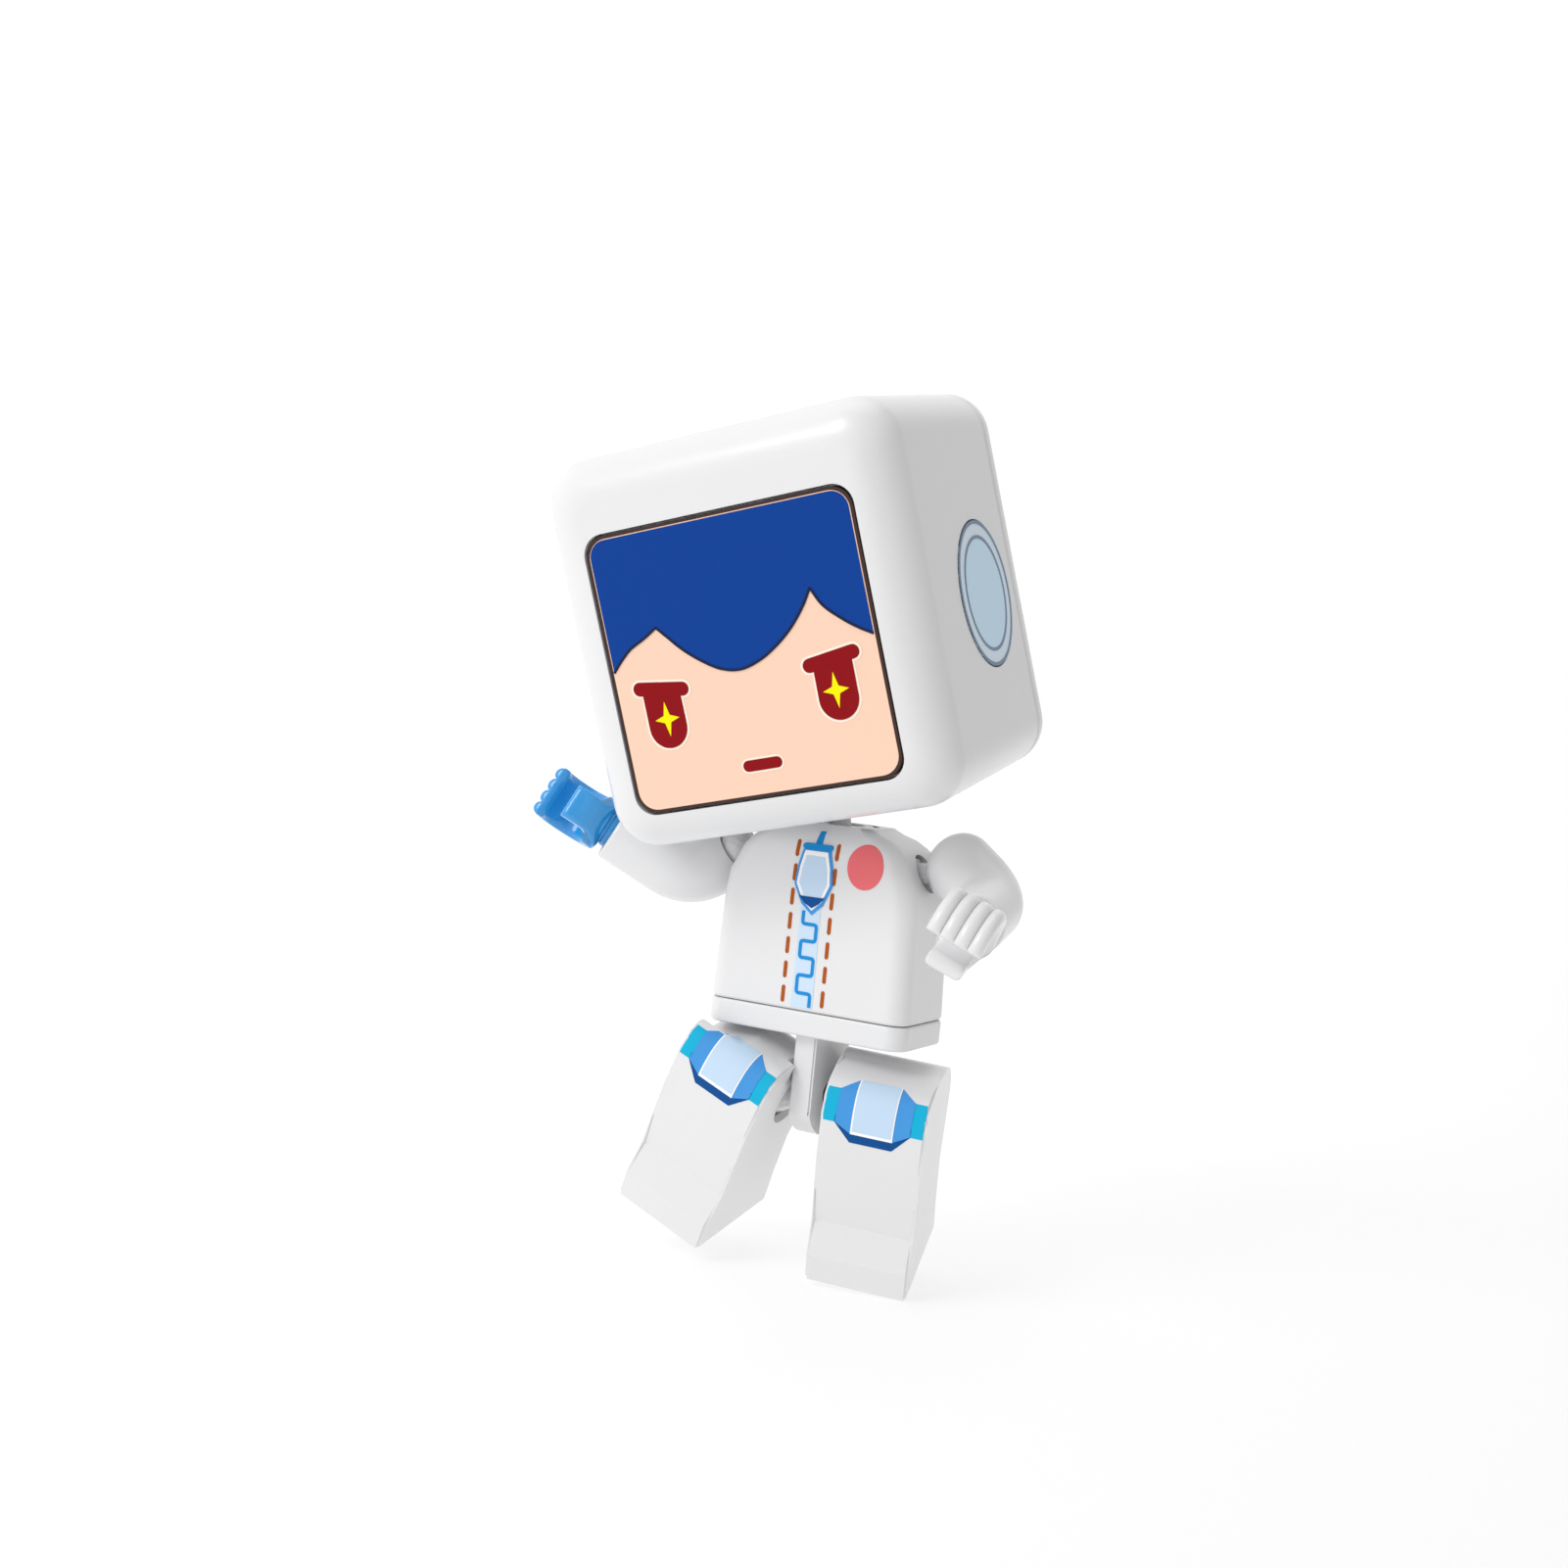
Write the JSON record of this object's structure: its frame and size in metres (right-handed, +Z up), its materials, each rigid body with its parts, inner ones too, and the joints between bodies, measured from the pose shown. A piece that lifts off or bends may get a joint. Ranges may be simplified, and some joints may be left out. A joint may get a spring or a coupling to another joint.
{
  "type": "posable robot kit figure",
  "caption": "Small posable toy figure with an oversized box head, printed face screen, hinged arms with grip hands and ball-jointed blocky legs.",
  "frame": {"origin": "centre of the footprint, on the ground below the lowest toe", "axes": "+Z up along the upright torso, -Y the way the torso faces, +X to its left"},
  "size_m": [0.0394, 0.027, 0.0649],
  "materials": {
    "white_plastic": "moulded white ABS, light gloss",
    "blue_plastic": "moulded mid-blue ABS, glossy",
    "face_print": "white panel printed with a simple face: dark blue hair, skin tone, dark red eyes",
    "pale_blue_plastic": "pale blue plastic trim, smooth",
    "pin_metal": "plain steel pin"
  },
  "bodies": {
    "torso": {"torso_shell": "white_plastic", "waist_block": "white_plastic", "hip_pin": "pin_metal"},
    "neck_collar": {"neck_collar": "white_plastic"},
    "neck_link": {"neck_link": "white_plastic"},
    "head": {"head_shell": "white_plastic", "head_back_cover": "white_plastic", "head_socket": "white_plastic", "face_panel": "face_print", "ear_ring_l": "pale_blue_plastic", "ear_ring_r": "pale_blue_plastic", "ear_disc_l": "pale_blue_plastic", "ear_disc_r": "pale_blue_plastic", "top_disc_l": "pale_blue_plastic", "top_disc_r": "pale_blue_plastic"},
    "shoulder_l": {"shoulder_stud_l": "white_plastic"},
    "arm_l": {"arm_l": "white_plastic"},
    "hand_l": {"hand_l": "white_plastic"},
    "hip_l": {"hip_ball_l": "white_plastic"},
    "leg_l": {"leg_l": "white_plastic"},
    "shoulder_r": {"shoulder_stud_r": "white_plastic"},
    "arm_r": {"arm_r": "white_plastic"},
    "hand_r": {"hand_r": "blue_plastic"},
    "hip_r": {"hip_ball_r": "white_plastic"},
    "leg_r": {"leg_r": "white_plastic"}
  },
  "joints": [
    {"name": "neck_turn", "type": "hinge", "parent": "torso", "child": "neck_collar", "pos_m": [0.00236, 0.00368, 0.03091], "axis": [0, 0, 1], "range_deg": [-4, 25]},
    {"name": "neck_tilt", "type": "hinge", "parent": "neck_collar", "child": "neck_link", "pos_m": [0.00236, 0.00368, 0.03091], "axis": [-0.0489, 0.9988, 0], "range_deg": [0, 10]},
    {"name": "head_nod", "type": "hinge", "parent": "neck_link", "child": "head", "pos_m": [0.00177, 0.00318, 0.03679], "axis": [0.9696, 0.0474, 0.2402], "range_deg": [-6, 10]},
    {"name": "shoulder_swing_l", "type": "hinge", "parent": "torso", "child": "shoulder_l", "pos_m": [0.01106, 0.00368, 0.03031], "axis": [1, 0, 0], "range_deg": [-50, 45]},
    {"name": "arm_raise_l", "type": "hinge", "parent": "shoulder_l", "child": "arm_l", "pos_m": [0.01106, 0.00368, 0.03031], "axis": [0, 0.8988, -0.4384], "range_deg": [-20, 20]},
    {"name": "wrist_l", "type": "hinge", "parent": "arm_l", "child": "hand_l", "pos_m": [0.01612, -0.00368, 0.02802], "axis": [0.1687, -0.9733, -0.1556], "continuous": true},
    {"name": "hip_swing_l", "type": "hinge", "parent": "torso", "child": "hip_l", "pos_m": [0.00596, 0.00368, 0.01351], "axis": [1, 0, 0], "range_deg": [-20, 45]},
    {"name": "leg_spread_l", "type": "hinge", "parent": "hip_l", "child": "leg_l", "pos_m": [0.00596, 0.00368, 0.01351], "axis": [0, 0.9563, 0.2924], "range_deg": [-8, 2]},
    {"name": "shoulder_swing_r", "type": "hinge", "parent": "torso", "child": "shoulder_r", "pos_m": [-0.00634, 0.00368, 0.03031], "axis": [1, 0, 0], "range_deg": [-4, 8]},
    {"name": "arm_raise_r", "type": "hinge", "parent": "shoulder_r", "child": "arm_r", "pos_m": [-0.00634, 0.00368, 0.03031], "axis": [0, 0.6157, -0.788], "range_deg": [-3, 4]},
    {"name": "wrist_r", "type": "hinge", "parent": "arm_r", "child": "hand_r", "pos_m": [-0.01406, -0.00135, 0.03078], "axis": [-0.7498, -0.471, 0.4647], "continuous": true},
    {"name": "hip_swing_r", "type": "hinge", "parent": "torso", "child": "hip_r", "pos_m": [-0.00124, 0.00368, 0.01351], "axis": [1, 0, 0], "range_deg": [-5, 15]},
    {"name": "leg_spread_r", "type": "hinge", "parent": "hip_r", "child": "leg_r", "pos_m": [-0.00124, 0.00368, 0.01351], "axis": [0, 0.9799, 0.1994], "range_deg": [-20, 1]}
  ]
}
